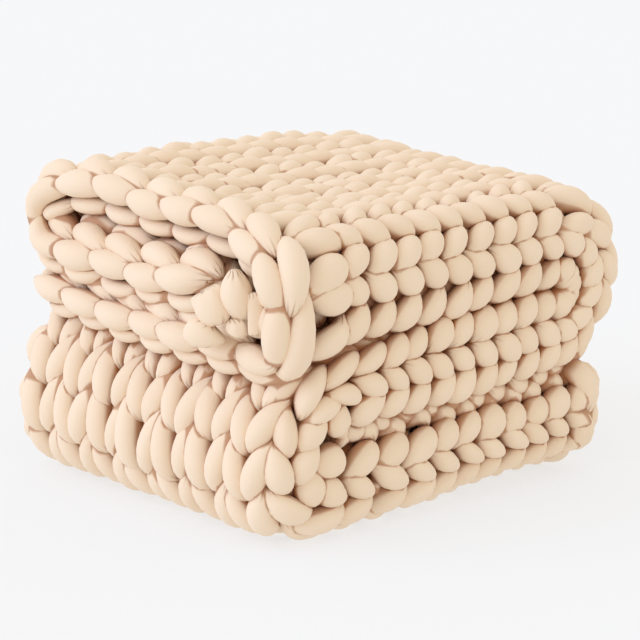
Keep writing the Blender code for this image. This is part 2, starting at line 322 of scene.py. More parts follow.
    def across(self, wale: Array, course: Array, out: Array) -> tuple[Array, ...]:
        """Fold in three across.

        Args:
            wale: Wale of each place.
            course: Its course.
            out: Its distance out from the middle of the layer.

        Returns:
            X, and the height over the middle layer.
        """
        marks, pitch = self.across_marks, self.layer_pitch
        length = self.arc(wale, self.wale_marks, marks)
        far_side, far_up = self.bend(length, marks[1], pitch / 2, out)
        side, up = self.bend(length, marks[3], pitch, out)
        pressed = self.pressed(course, up)
        fullness = self.side_fullness + (self.seam_fullness - self.side_fullness) * pressed
        side, up = self.fill_out(side, up, fullness)
        up = up * (1.0 + self.seam_press * pressed * self.ease((0.0, pitch), side))
        stretches = (
            (self.free_edge_x - length, -out),
            (self.far_centre_x - far_side, pitch / 2 - far_up),
            (self.far_centre_x + length - marks[2], pitch + out),
            (self.side_centre_x + side, up),
            (self.side_centre_x - (length - marks[4]), -pitch - out),
        )
        return self.pick(length, marks, stretches)

    def along(self, course: Array, height: Array) -> tuple[Array, ...]:
        """Fold in three along.

        Args:
            course: Course of each place.
            height: Its height over the middle layer.

        Returns:
            Y and Z.
        """
        marks, pitch, radius = self.along_marks, self.stack_pitch, self.bend_radius
        length = self.arc(course, self.course_marks, marks)
        back_side, back_up = self.bend(length, marks[1], radius, height)
        back_side, back_up = self.fill_out(back_side, back_up, self.bend_fullness)
        front_side, front_up = self.bend(length, marks[3], radius, -height)
        front_side, front_up = self.fill_out(front_side, front_up, self.bend_fullness)
        stretches = (
            (self.top_start_y + length, 2.5 * pitch + height),
            (self.back_bend_y + back_side, 2 * pitch + back_up),
            (self.back_bend_y - (length - marks[2]), 1.5 * pitch - height),
            (self.front_bend_y - front_side, pitch + front_up),
            (self.front_bend_y + length - marks[4], 0.5 * pitch + height),
        )
        return self.pick(length, marks, stretches)

    def settle(self, x: Array, y: Array, z: Array) -> tuple[Array, ...]:
        """Weight of the block: uneven runs, a spread foot, a soft crown and a little sway.

        Args:
            x: X of each place in the even fold.
            y: Its Y.
            z: Its Z.

        Returns:
            X, Y and Z in the settled block.
        """
        total = 3 * self.stack_pitch
        level = z / self.stack_pitch
        share = self.ease((self.front_bend_y, self.back_bend_y), y)
        lower = total * self.lower_seam
        upper = total * (self.upper_seam[0] + (self.upper_seam[1] - self.upper_seam[0]) * share)
        mid = lower + (level - 1.0) * (upper - lower)
        high = upper + (level - 2.0) * (total - upper)
        z_new = np.where(level < 1.0, level * lower, np.where(level < 2.0, mid, high))
        sag = self.front_sag * np.interp(level, *zip(*self.front_levels))
        lean = self.back_lean * np.interp(level, *zip(*self.back_levels))
        y_new = y - sag * (1.0 - self.ease(self.front_zone, y))
        y_new += lean * self.ease(self.back_zone, y)
        top_run = np.clip(level - 2.0, 0.0, 1.0)
        lift = np.clip(level / 3.0, 0.0, 1.0) ** 2
        z_new += self.free_end_rise * top_run * (1.0 - self.ease(self.rise_zone, y))
        hump = self.ease(self.hump_zones[0], y) * (1.0 - self.ease(self.hump_zones[1], y))
        z_new += (self.crown + self.hump * hump) * lift * (1.0 - self.ease(self.crown_zone, x))
        foot = np.clip(1.0 - self.foot_fade * level, 0.0, 1.0) * self.ease(self.foot_zones[0], x)
        behind = self.foot_front + (1.0 - self.foot_front) * self.ease(self.foot_zones[1], y)
        z_new += self.foot_lift * foot * behind
        slope = self.ease(self.shoulder_zones[0], x) * self.ease(self.shoulder_zones[1], y)
        z_new -= self.shoulder * slope * top_run
        z_new -= 0.5 * self.crown * lift * np.exp(-(((x - self.dip[0]) / self.dip[1]) ** 2))
        swaying = np.clip(z_new / self.sway_height, 0.0, 1.0)
        x_new = x + self.sway[0] * np.sin(9.0 * z_new + 5.0 * y) * swaying
        y_new = y_new + self.sway[1] * np.sin(8.0 * x + 2.0) * swaying
        return x_new, y_new, z_new

    def drawn_back(self, wale: Array, last: bool) -> Array:
        """Courses by which an end of the cloth is drawn back, which it is unevenly."""
        marks = self.last_end if last else self.free_end
        return np.interp(wale, *zip(*[(mark.wale, mark.drawn_back) for mark in marks]))

    def end_rise(self, wale: Array, course: Array) -> Array:
        """How far a place near either end of the cloth stands up or sags.

        Args:
            wale: Wale of each place.
            course: Its course.

        Returns:
            Metres up.
        """
        total = np.zeros(np.shape(wale))
        for marks, last in ((self.free_end, False), (self.last_end, True)):
            inside = self.course_marks[-1] - course if last else course
            bend = self.last_end_bend if last else self.free_end_bend
            near = (bend + self.drawn_back(wale, last) - inside) / bend
            rise = np.interp(wale, *zip(*[(mark.wale, mark.rise) for mark in marks]))
            total = total + rise * np.clip(near, 0.0, self.end_limit) ** 3
        return total

    def place(self, wale: Array, course: Array, out: Array) -> Array:
        """Where places of the cloth lie in the folded block.

        Args:
            wale: Wales from the free edge of the inmost third.
            course: Courses from the free end of the top run.
            out: Metres from the middle of the layer, towards the knit face.

        Returns:
            Points, with one more axis than the arguments.
        """
        wale, course, out = np.broadcast_arrays(
            np.asarray(wale, float), np.asarray(course, float), np.asarray(out, float)
        )
        x, height = self.across(wale, course, out)
        y, z = self.along(course, height)
        x, y, z = self.settle(x, y, z)
        z = z + self.end_rise(wale, course)
        gap = (self.layer_pitch - self.layer_thickness) / 2 * self.lower_seam * 3
        return np.stack([x - self.middle[0], y - self.middle[1], z - gap], axis=-1)


# ---- Strands of yarn
@dataclass(frozen=True)
class Ring:
    """One ring of a strand, from one end to the other, about the middle of its stitch."""

    across: float  # wales
    along: float  # courses
    out: float  # metres
    wide: float  # share of the yarn's half width
    high: float  # share of the yarn's half height


@dataclass
class Crowd:
    """All the strands as rows of balls, which tells how closed in a place is by its neighbours,
    and so where shade is painted into the yarn's colour.
    """

    reach: float = 0.075
    near: float = 0.042
    touch_gap: float = 0.006  # a gap to the next strand that leaves no painted crease shade
    touch_limit: float = 1.6
    ball_share: float = 0.42  # balls of a strand overlap, so each counts for this much
    most_shut: float = 0.98
    slack: float = 0.15  # how far behind a point's skin a ball still counts
    joined: list[tuple[Array, ...]] = field(default_factory=list)
    count: int = 0
    centres: Array = field(init=False)
    radii: Array = field(init=False)
    frames: Array = field(init=False)
    owners: Array = field(init=False)
    tree: KDTree = field(init=False)

    def join(self, centre: Array, radius: Array, frame: Array) -> int:
        """Take on strands.

        Args:
            centre: Centres of the balls, strand by strand.
            radius: Their radii.
            frame: The three axes of each, each over the ball's half size along it.

        Returns:
            The number of the first of these strands in the crowd.
        """
        first = self.count
        self.count += len(centre)
        owner = np.repeat(np.arange(first, self.count), centre.shape[1])
        self.joined.append((centre.reshape(-1, 3), radius.ravel(), frame.reshape(-1, 3, 3), owner))
        return first

    def settle(self) -> None:
        """Sort the balls by place, once all strands have joined."""
        self.centres, self.radii, self.frames, self.owners = map(np.concatenate, zip(*self.joined))
        self.tree = KDTree(len(self.centres))
        for number, centre in enumerate(self.centres):
            self.tree.insert(centre, number)
        self.tree.balance()

    def neighbours(self, points: Array, owner: int, reach: float) -> Array:
        """Numbers of the balls of other strands near the middle of one strand.

        Args:
            points: The strand's points.
            owner: The strand's number in the crowd.
            reach: How far off a ball may lie.

        Returns:
            The numbers of the balls.
        """
        found = self.tree.find_range(points.mean(axis=0), reach)
        numbers = np.array([number for _, number, _ in found], dtype=int)
        return numbers[self.owners[numbers] != owner]

    def closeness(self, points: Array, normals: Array, owner: int) -> Array:
        """How far neighbours shut off what the points of one strand face, from 0 to 1.

        Args:
            points: The strand's points.
            normals: The directions that they face.
            owner: The strand's number in the crowd.

        Returns:
            One share for each point.
        """
        near = self.neighbours(points, owner, self.reach)
        towards = self.centres[near] - points[:, None, :]
        distance = np.linalg.norm(towards, axis=-1) + TINY
        facing = np.einsum("pnk,pk->pn", towards, normals) / distance
        share = self.ball_share * np.minimum(self.radii[near] / distance, 1.0) ** 2
        shut = share * np.clip(facing * (1.0 + self.slack) + self.slack, 0.0, 1.0)
        return 1.0 - np.prod(1.0 - np.clip(shut, 0.0, self.most_shut), axis=1)

    def touch(self, points: Array, owner: int) -> Array:
        """How close the points of one strand come to the next strand: 1 where they touch.

        Args:
            points: Points on the strand.
            owner: The strand's number in the crowd.

        Returns:
            One number for each point, more than 1 inside the next strand.
        """
        near = self.neighbours(points, owner, self.near)
        if not len(near):
            return np.zeros(len(points))
        away = points[:, None, :] - self.centres[near]
        level = np.linalg.norm(np.einsum("pnk,njk->pnj", away, self.frames[near]), axis=-1)
        gap = ((level - 1.0) * self.radii[near]).min(axis=1)
        return np.clip(1.0 - gap / self.touch_gap, 0.0, self.touch_limit)


@dataclass
class Strands:
    """Many strands of one form, joined into one piece."""

    fold: Fold
    crowd: Crowd
    name: str
    sides: int = 8
    half_yarn: float = 0.0145
    smooth: int = 1
    cap: float = 0.40
    round_yarn: bool = False  # keep the yarn's own width, whatever the pitch of the wales
    swell: float = 1.09  # the smoothing draws a ring in by this much
    plump: float = 2.15  # 2 is a round section, more is squarer
    widths: Zone = (0.70, 1.24)  # least and most width, as a share of the yarn's own
    squeeze: Zone = (0.9, 1.15)  # a wide strand is flat, a narrow one is high
    probe: float = 0.002  # distance at which the way out of the cloth is measured
    ball_length: float = 1.3  # as a share of the distance between rings
    laid: list[tuple[Array, ...]] = field(default_factory=list)
    tone: Array = field(init=False)
    centre: Array = field(init=False)
    run: Array = field(init=False)
    up: Array = field(init=False)
    wide: Array = field(init=False)
    high: Array = field(init=False)
    first: int = field(init=False)

    def add(self, path: Array, wide: Array, high: Array, tone: Array) -> None:
        """Take on strands.

        Args:
            path: Wale, course and out of each ring, strand by strand.
            wide: Half width of each ring, as a share of a half wale.
            high: Half height of each ring, as a share of the yarn's.
            tone: One number from 0 to 1 for each strand.
        """
        self.laid.append((path, wide, high, tone))

    def sphere(self, rings: int) -> tuple[bpy.types.Mesh, Array, Array]:
        """The form that every strand starts from: a small ball of rings with a UV map.

        Args:
            rings: Rings between the two poles.

        Returns:
            The mesh, and the ring and the angle of each of its points.
        """
        bm = bmesh.new()
        bmesh.ops.create_uvsphere(bm, u_segments=self.sides, v_segments=rings + 1, radius=1.0)
        strand = bm.loops.layers.uv.new("strand")
        for face in bm.faces:
            turns = [turned(vert.co) for vert in face.verts]
            poles = [math.hypot(vert.co.x, vert.co.y) < NEAR_POLE for vert in face.verts]
            known = [turn for turn, pole in zip(turns, poles) if not pole]
            seam = max(known) - min(known) > 0.5
            known = [turn + (seam and turn < 0.5) for turn in known]
            for loop, turn, pole in zip(face.loops, turns, poles):
                turn = sum(known) / len(known) if pole else turn + (seam and turn < 0.5)
                loop[strand].uv = (turn, down(loop.vert.co))
        mesh = made_mesh(bm, self.name + "_form")
        points = np.array([v.co for v in mesh.vertices])
        ring = np.rint(np.arccos(np.clip(points[:, 2], -1.0, 1.0)) / math.pi * (rings + 1))
        return mesh, ring.astype(int), np.arctan2(points[:, 1], points[:, 0])

    def half_wale(self, wale: Array, course: Array, out: Array) -> Array:
        """Half width that a strand has to fill, from the pitch of the wales near the surface.

        Args:
            wale: Wale of each ring.
            course: Its course.
            out: Its distance out from the middle of the layer.

        Returns:
            Metres.
        """
        if self.round_yarn:
            return np.full(wale.shape, self.half_yarn)
        surface = np.maximum(out, 0.0) + 0.5 * self.half_yarn
        half = self.fold.place(wale + 0.25, course, surface)
        half -= self.fold.place(wale - 0.25, course, surface)
        least, most = self.widths
        pitch = np.linalg.norm(half, axis=-1)
        return np.clip(pitch / 2, least * self.half_yarn, most * self.half_yarn)

    def trace(self) -> None:
        """Work out each strand's centre line, its frame and its half sizes, and join the crowd."""
        path, wide, high, self.tone = map(np.concatenate, zip(*self.laid))
        wale, course, out = np.moveaxis(path, -1, 0)
        centre = self.fold.place(wale, course, out)
        half_wale = self.half_wale(wale, course, out)
        run = unit(np.gradient(centre, axis=1))
        up = self.fold.place(wale, course, out + self.probe)
        up -= self.fold.place(wale, course, out - self.probe)
        up = unit(up - np.sum(up * run, axis=-1, keepdims=True) * run)
        wide = wide * self.swell * half_wale
        squeeze = np.clip(self.half_yarn / half_wale, *self.squeeze)
        high = high * self.swell * self.half_yarn * squeeze
        self.centre, self.run, self.up = centre, run, up
        self.wide, self.high = wide, high
        step = self.ball_length * np.linalg.norm(np.gradient(centre, axis=1), axis=-1)
        axes = [np.cross(run, up) / wide[..., None], up / high[..., None], run / step[..., None]]
        frame = np.stack(axes, axis=-2) * np.array([self.swell, self.swell, 1.0])[:, None]
        self.first = self.crowd.join(centre, np.sqrt(wide * high) / self.swell, frame)

    def shape(self, ring: Array, angle: Array) -> tuple[Array, ...]:
        """Points of all the strands, how closed in each is, and how close to the next strand.

        Args:
            ring: Ring of each point of the starting form.
            angle: Angle of each point of the starting form.

        Returns:
            Points and the two shares, strand by strand.
        """
        last = self.centre.shape[1] - 1
        inner = np.clip(ring - 1, 0, last)
        pole = ((ring == last + 2) * 1.0 - (ring == 0) * 1.0)[:, None]
        body = (ring > 0) & (ring < last + 2)
        side, rise = self.fold.fill_out(np.cos(angle), np.sin(angle), self.plump)
        across, upward = (side * body)[:, None], (rise * body)[:, None]
        centre, run, up = self.centre[:, inner], self.run[:, inner], self.up[:, inner]
        wide, high = self.wide[:, inner, None], self.high[:, inner, None]
        cross = np.cross(run, up)
        points = centre + cross * wide * across + up * high * upward + run * high * pole * self.cap
        normals = unit(cross * across / wide + up * upward / high + run * pole / high)
        skin = centre + (points - centre) / self.swell
        shares = [
            (self.crowd.closeness(spots, ways, owner), self.crowd.touch(inside, owner))
            for owner, (spots, ways, inside) in enumerate(zip(points, normals, skin), self.first)
        ]
        closed, touch = np.moveaxis(np.array(shares), 1, 0)
        height = points[..., 2]
        points[..., 2] = 0.5 * (height + np.sqrt(height**2 + self.fold.floor_softness**2))
        return points, closed, touch

    def build(self, finish: "Jersey", node: str) -> bpy.types.Object:
        """Make the piece.

        Args:
            finish: The yarn's finish.
            node: The frame's node that the piece stands for.

        Returns:
            The finished object.
        """
        form, ring, angle = self.sphere(self.centre.shape[1])
        points, closed, touch = self.shape(ring, angle)
        bm = bmesh.new()
        for _ in range(len(points)):
            bm.from_mesh(form)
        mesh = made_mesh(bm, self.name)
        bpy.data.meshes.remove(form)
        mesh.vertices.foreach_set("co", points.ravel())
        tones = np.repeat(self.tone, len(ring))
        # closed and touch darken the colour in the material: painted shade in closed-in places and
        # along touching strands.
        shares = {"tone": tones, "closed": closed.ravel(), "touch": touch.ravel()}
        for name, values in shares.items():
            mesh.attributes.new(name, "FLOAT", "POINT").data.foreach_set("value", values)
        mesh.shade_smooth()
        mesh.update()
        return finish.dress(mesh, node, self.smooth)


@dataclass
class Knit:
    """Plain knit: two legs to a stitch, and a row of small loops behind each course."""

    fold: Fold
    seed: int = 11
    least_step: float = 0.012  # metres between courses, under which only some stitches show
    crowded_step: float = 3.0  # courses from one of those to the next
    short_wales: Zone = (11.0, 15.5)  # where the stitches are drawn short
    short_start: float = 1.6  # the course from which they are
    short_bend: float = 0.45  # how much of that is left in the bends
    stretch: tuple[float, float] = (0.06, 0.05)  # how unlike the stitches are, across and along
    shift: tuple[float, ...] = (0.018, 0.045, 0.0010)  # how far off they lie, to all three sides
    thickness: tuple[float, float] = (0.045, 0.035)  # how unlike their yarn is, wide and high
    leg: tuple[Ring, ...] = (
        Ring(0.49, -0.86, -0.002, 0.2, 0.22),
        Ring(0.46, -0.66, 0.0014, 0.52, 0.54),
        Ring(0.385, -0.38, 0.0042, 0.92, 0.94),
        Ring(0.31, -0.08, 0.0064, 1.06, 1.08),
        Ring(0.255, 0.22, 0.0074, 1.05, 1.14),
        Ring(0.215, 0.48, 0.0064, 0.9, 1.0),
        Ring(0.175, 0.67, 0.0026, 0.62, 0.74),
        Ring(0.135, 0.79, -0.0045, 0.28, 0.36),
    )
    slant: tuple[Ring, ...] = (
        Ring(0.57, -0.56, -0.003, 0.16, 0.22),
        Ring(0.515, -0.43, 0.0008, 0.42, 0.5),
        Ring(0.425, -0.26, 0.0038, 0.74, 0.88),
        Ring(0.32, -0.06, 0.0062, 0.92, 1.06),
        Ring(0.22, 0.14, 0.0074, 0.93, 1.12),
        Ring(0.135, 0.32, 0.006, 0.78, 0.96),
        Ring(0.07, 0.46, 0.002, 0.5, 0.66),
        Ring(0.02, 0.56, -0.005, 0.22, 0.3),
    )
    back: tuple[Ring, ...] = (
        Ring(-0.46, 0.3, -0.004, 0.7, 0.55),
        Ring(-0.28, 0.0, -0.0075, 0.8, 0.62),
        Ring(0.0, -0.12, -0.009, 0.85, 0.66),
        Ring(0.28, 0.0, -0.0075, 0.8, 0.62),
        Ring(0.46, 0.3, -0.004, 0.7, 0.55),
    )
    bump: tuple[Ring, ...] = (
        Ring(-0.52, 0.3, -0.007, 0.6, 0.6),
        Ring(-0.34, 0.08, -0.014, 1.0, 0.95),
        Ring(0.0, 0.0, -0.018, 1.2, 1.12),
        Ring(0.34, 0.08, -0.014, 1.0, 0.95),
        Ring(0.52, 0.3, -0.007, 0.6, 0.6),
    )

    def stitches(self, wales: range, courses: range, spare: float = 0.0) -> Array:
        """Wale and course of the middle of each stitch in a patch.

        Args:
            wales: Wales of the patch.
            courses: Courses of the patch.
            spare: Courses by which a stitch may lie past the free end.

        Returns:
            One row for each stitch.
        """
        grid = np.meshgrid(np.array(wales) + 0.5, np.array(courses) + 0.5, indexing="ij")
        grid = np.stack(grid, axis=-1).reshape(-1, 2)
        first = self.fold.drawn_back(grid[:, 0], False)
        last = self.fold.course_marks[-1] - self.fold.drawn_back(grid[:, 0], True)
        kept = (grid[:, 1] > first - spare) & (grid[:, 1] < last)
        # Where the inside of a bend crowds the courses only some of them show.
        step = self.fold.place(grid[:, 0], grid[:, 1] + 0.5, 0.5 * self.fold.layer_thickness)
        step -= self.fold.place(grid[:, 0], grid[:, 1] - 0.5, 0.5 * self.fold.layer_thickness)
        crowded = np.linalg.norm(step, axis=-1) < self.least_step
        return grid[kept & ~(crowded & (grid[:, 1] % self.crowded_step > 1.0))]

    def short(self, stitches: Array) -> Array:
        """How far each stitch is drawn short, as on the near side, between the bends above all.

        Args:
            stitches: Wale and course of each stitch.

        Returns:
            One share for each stitch.
        """
        wale, course = stitches.T
        marks = self.fold.course_marks
        bent = (course > marks[1] - 0.5) & (course < marks[2] + 0.5)
        bent |= (course > marks[3] - 1.0) & (course < marks[4] + 0.5)
        short = (wale > self.short_wales[0]) & (wale < self.short_wales[1])
        return (short & (course > self.short_start)) * np.where(bent, self.short_bend, 1.0)

    def lay(
        self, strands: Strands, form: tuple[Ring, ...], stitches: Array, side: float = 1.0
    ) -> None:
        """Lay one strand of a form at each stitch, no two quite alike.

        Args:
            strands: The piece that takes them.
            form: The rings of one strand.
            stitches: Wale and course of each stitch.
            side: 1 as the form is given, -1 the other way about.
        """
        count = len(stitches)
        table = np.repeat(rows(form)[None], count, axis=0)
        if form is self.leg:
            table += self.short(stitches)[:, None, None] * (rows(self.slant) - table)
        chance = np.random.default_rng(self.seed + len(strands.laid) + count)
        slack = chance.normal(0.0, 1.0, (count, 1, 7))
        path, thick = table[..., :3], table[..., 3:]
        path[..., 0] *= side
        path[..., :2] *= 1.0 + np.array(self.stretch) * slack[..., :2]
        path[..., :2] += stitches[:, None]
        path += np.array(self.shift) * slack[..., 2:5]
        thick *= 1.0 + np.array(self.thickness) * slack[..., 5:]
        strands.add(path, thick[..., 0], thick[..., 1], chance.random(count))


class Edge(Enum):
    """The two ends of the cloth: the course each lies at, and the way out of the cloth."""

    FREE_END = (0.0, -1.0)
    LAST_END = (float(COURSES), 1.0)


@dataclass
class ChainEdge:
    """A chain of loops along an end of the cloth: three strands to a wale."""

    fold: Fold
    edge: Edge
    seed: int = 5
    turn_wales: tuple[float, float] = (4.8, 15.0)  # between these the knit face looks up
    shift: tuple[float, ...] = (0.03, 0.04, 0.0012)  # how far off the loops lie, to all sides
    thickness: float = 0.04  # how unlike their yarn is
    behind: tuple[Ring, ...] = (
        Ring(-0.72, -0.1, 0.003, 0.2, 0.22),
        Ring(-0.5, 0.02, 0.0085, 0.62, 0.6),
        Ring(-0.16, 0.2, 0.014, 1.06, 0.98),
        Ring(0.2, 0.34, 0.015, 1.12, 1.04),
        Ring(0.5, 0.42, 0.01, 0.78, 0.78),
        Ring(0.7, 0.44, 0.0045, 0.34, 0.38),
    )
    front: tuple[Ring, ...] = (
        Ring(-0.78, 0.66, 0.003, 0.14, 0.16),
        Ring(-0.58, 0.73, 0.0026, 0.52, 0.54),
        Ring(-0.25, 0.77, 0.0014, 1.02, 0.95),
        Ring(0.08, 0.75, 0.0012, 1.12, 1.03),
        Ring(0.4, 0.62, 0.0008, 0.82, 0.8),
        Ring(0.66, 0.42, 0.0, 0.28, 0.3),
    )
    lip: tuple[Ring, ...] = (
        Ring(-0.62, 0.16, -0.0125, 0.34, 0.3),
        Ring(-0.42, 0.34, -0.0158, 0.72, 0.56),
        Ring(-0.12, 0.47, -0.0178, 0.95, 0.68),
        Ring(0.18, 0.47, -0.0178, 0.95, 0.68),
        Ring(0.44, 0.34, -0.016, 0.72, 0.56),
        Ring(0.62, 0.16, -0.0125, 0.36, 0.32),
    )

    def lay(self, strands: Strands) -> None:
        """Lay the loops of the edge.

        Args:
            strands: The piece that takes them.
        """
        end, outward = self.edge.value
        wales = np.arange(WALES) + 0.5
        between = (wales > self.turn_wales[0]) & (wales < self.turn_wales[1])
        way = np.where(between, 1.0, -1.0)[:, None]
        chance = np.random.default_rng(self.seed)
        for form in (self.behind, self.front, self.lip):
            table = rows(form)
            slack = chance.normal(0.0, 1.0, (len(wales), 4))
            path = np.repeat(table[None, :, :3], len(wales), axis=0)
            path[..., 0] = wales[:, None] + way * path[..., 0] + self.shift[0] * slack[:, 0:1]
            path[..., 1] = outward * (path[..., 1] + self.shift[1] * slack[:, 1:2])
            back = self.fold.drawn_back(path[..., 0], self.edge is Edge.LAST_END)
            path[..., 1] += end - outward * back
            path[..., 2] = way * path[..., 2] + self.shift[2] * slack[:, 2:3]
            grow = 1.0 + self.thickness * slack[:, 3:4]
            strands.add(path, table[:, 3] * grow, table[:, 4] * grow, chance.random(len(wales)))


@dataclass
class Selvedge:
    """The plain side edges: the yarn turns from the knit face to the back at each course."""

    wale: float
    outward: float
    shift: tuple[float, float] = (0.02, 0.04)  # how far off the turns lie, across and along
    thickness: float = 0.04  # how unlike their yarn is
    turn: tuple[Ring, ...] = (
        Ring(-0.3, -0.55, 0.006, 0.5, 0.5),
        Ring(0.02, -0.38, 0.006, 0.92, 0.9),
        Ring(0.2, 0.0, 0.002, 1.05, 1.0),
        Ring(0.06, 0.34, -0.005, 0.95, 0.9),
        Ring(-0.25, 0.5, -0.008, 0.55, 0.5),
    )

    def lay(self, strands: Strands) -> None:
        """Lay one turn of the yarn at each course.

        Args:
            strands: The piece that takes them.
        """
        table = rows(self.turn)
        courses = np.arange(COURSES) + 0.5
        chance = np.random.default_rng(int(self.wale) + 3)
        slack = chance.normal(0.0, 1.0, (len(courses), 3))
        path = np.repeat(table[None, :, :3], len(courses), axis=0)
        path[..., 0] = self.wale + self.outward * path[..., 0] + self.shift[0] * slack[:, 0:1]
        path[..., 1] += courses[:, None] + self.shift[1] * slack[:, 1:2]
        grow = 1.0 + self.thickness * slack[:, 2:3]
        strands.add(path, table[:, 3] * grow, table[:, 4] * grow, chance.random(len(courses)))


@dataclass(frozen=True)
class Section:
    """One ring of a yarn end, in the upright plane that faces the block's near corner."""

    side: float  # metres
    rise: float
    wide: float
    deep: float
    folds: float = 0.0  # how strongly the cloth is gathered, as a share of its width
    # How closed in the ring is, which paints shade into its colour at the pinched tips.
    closed: float = 0.0


@dataclass(frozen=True)
class YarnEnd:
    """A closed end of the stuffed yarn, tucked into the mouth of the fold."""

    name: str
    node: str
    foot: tuple[float, float, float]
    parts: tuple[tuple[Section, ...], ...]
    heading: float = 48.0  # degrees from +X towards +Y, the way that the plane runs
    sides: int = 28
    gathers: int = 7
    waves: int = 4  # slow waves round it, under the gathers
    wave_share: float = 0.6
    wave_rise: float = 0.25  # how far the waves lift the rings, as a share of their width
    tone: float = 0.7

    def lump(self, sections: tuple[Section, ...], number: int) -> bpy.types.Mesh:
        """One rounded part of the end.

        Args:
            sections: Its rings, from the top down.
            number: Its number, which turns its gathers.

        Returns:
            Its mesh.
        """
        bm = bmesh.new()
        last = len(sections) - 1
        bmesh.ops.create_uvsphere(bm, u_segments=self.sides, v_segments=last + 2, radius=1.0)
        strand = bm.loops.layers.uv.new("strand")
        closed = bm.verts.layers.float.new("closed")
        tone = bm.verts.layers.float.new("tone")
        heading = math.radians(self.heading)
        table = rows(sections)
        run = unit(np.gradient(table[:, :2], axis=0))
        for face in bm.faces:
            for loop in face.loops:
                loop[strand].uv = (turned(loop.vert.co), down(loop.vert.co))
        for vert in bm.verts:
            place = down(vert.co) * (last + 2)
            ring = min(max(round(place) - 1, 0), last)
            side, rise, wide, deep, folds, shut = table[ring]
            angle = math.atan2(vert.co.y, vert.co.x)
            wave = math.sin(self.gathers * angle + number)
            wave += self.wave_share * math.sin(self.waves * angle + 1.3)
            grow = (1.0 + folds * wave) * (0.5 < place < last + 1.5)
            across, through = wide * grow * math.cos(angle), deep * grow * math.sin(angle)
            side += across * -run[ring, 1]
            rise += across * run[ring, 0] + self.wave_rise * folds * wave * wide
            # Each ring's closed share paints shade into the colour where the end is pinched.
            vert[closed], vert[tone] = shut, self.tone
            vert.co = (
                self.foot[0] + side * math.cos(heading) + through * math.sin(heading),
                self.foot[1] + side * math.sin(heading) - through * math.cos(heading),
                self.foot[2] + rise,
            )
        bmesh.ops.recalc_face_normals(bm, faces=bm.faces)
        return made_mesh(bm, self.name)

    def build(self, finish: "Jersey") -> bpy.types.Object:
        """Make the piece from its parts.

        Args:
            finish: The yarn's finish.

        Returns:
            The finished object.
        """
        bm = bmesh.new()
        for number, sections in enumerate(self.parts):
            lump = self.lump(sections, number)
            bm.from_mesh(lump)
            bpy.data.meshes.remove(lump)
        mesh = made_mesh(bm, self.name)
        mesh.shade_smooth()
        return finish.dress(mesh, self.node, 1)


OUTER_END = YarnEnd(
    "outer_end",
    "yarn_end_outer",
    (0.1255, -0.2570, 0.2425),
    (
        (
            Section(-0.0062, 0.014, 0.0095, 0.0014, 0.05, 0.7),
            Section(-0.0066, 0.0165, 0.014, 0.0034, 0.1, 0.3),
            Section(-0.0056, 0.013, 0.0152, 0.0076, 0.07, 0.1),
            Section(-0.0034, 0.008, 0.0168, 0.013, 0.03),
            Section(0.0, 0.0, 0.0178, 0.016),
            Section(0.004, -0.008, 0.018, 0.0165),
            Section(0.0078, -0.014, 0.0156, 0.0145),
            Section(0.0088, -0.0175, 0.009, 0.009, 0.0, 0.5),
        ),
        (
            Section(-0.001, -0.0175, 0.009, 0.008, 0.0, 0.5),
            Section(-0.004, -0.021, 0.019, 0.014, 0.0, 0.2),
            Section(-0.007, -0.028, 0.0225, 0.016),
            Section(-0.008, -0.035, 0.021, 0.015),
            Section(-0.008, -0.041, 0.011, 0.01),
        ),
    ),
)
INNER_END = YarnEnd(
    "inner_end",
    "yarn_end_inner",
    (0.1470, -0.2440, 0.2550),
    (
        (
            Section(-0.001, 0.0255, 0.0042, 0.004, 0.16, 0.6),
            Section(-0.001, 0.0215, 0.007, 0.0065, 0.13, 0.25),
            Section(-0.0008, 0.015, 0.0122, 0.0115, 0.05),
            Section(-0.0005, 0.006, 0.0162, 0.0155),
            Section(0.0012, -0.0045, 0.0164, 0.0155),
            Section(0.0045, -0.0135, 0.0134, 0.0125, 0.03),
            Section(0.0086, -0.0205, 0.0086, 0.007, 0.12, 0.15),
            Section(0.0118, -0.025, 0.0052, 0.0026, 0.2, 0.45),
        ),
        (
            Section(0.001, -0.023, 0.007, 0.007, 0.1, 0.5),
            Section(0.0012, -0.0275, 0.0122, 0.01, 0.05, 0.2),
            Section(0.0016, -0.033, 0.0126, 0.011, 0.03),
            Section(0.001, -0.0385, 0.011, 0.01),
            Section(0.0, -0.042, 0.006, 0.006),
        ),
    ),
)
SEWN_TAIL = YarnEnd(
    "sewn_tail",
    "yarn_end_inner",
    (0.1560, -0.2490, 0.2540),
    (
        (
            Section(0.016, 0.006, 0.005, 0.0012, 0.0, 0.5),
            Section(0.0162, 0.002, 0.0075, 0.0024, 0.0, 0.4),
            Section(0.0164, -0.009, 0.0078, 0.0026, 0.0, 0.35),
            Section(0.0166, -0.022, 0.0077, 0.0026, 0.0, 0.35),
            Section(0.0166, -0.0358, 0.0076, 0.0024, 0.0, 0.4),
            Section(0.0166, -0.0368, 0.0066, 0.0016, 0.0, 0.6),
        ),
    ),
)


# ---- Finishes
class Value:
    """A shader socket that takes part in sums."""

    def __init__(self, graph: "Graph", socket: bpy.types.NodeSocket) -> None:
        """Wrap an output socket of a graph."""
        self.graph = graph
        self.socket = socket

    def _math(self, operation: str, *terms: "Value | float") -> "Value":
        """A Math node on values and numbers."""
        return self.graph.node("ShaderNodeMath", {"operation": operation}, dict(enumerate(terms)))

    def __add__(self, other: "Value | float") -> "Value":
        """Sum."""
        return self._math("ADD", self, other)

    def __sub__(self, other: "Value | float") -> "Value":
        """Difference."""
        return self._math("SUBTRACT", self, other)

    def __rsub__(self, other: float) -> "Value":
        """Difference from a number."""
        return self._math("SUBTRACT", other, self)

    def __mul__(self, other: "Value | float") -> "Value":
        """Product."""
        return self._math("MULTIPLY", self, other)

    def size(self) -> "Value":
        """Size, whatever the sign."""
        return self._math("ABSOLUTE", self)

    def wave(self) -> "Value":
        """Sine."""
        return self._math("SINE", self)


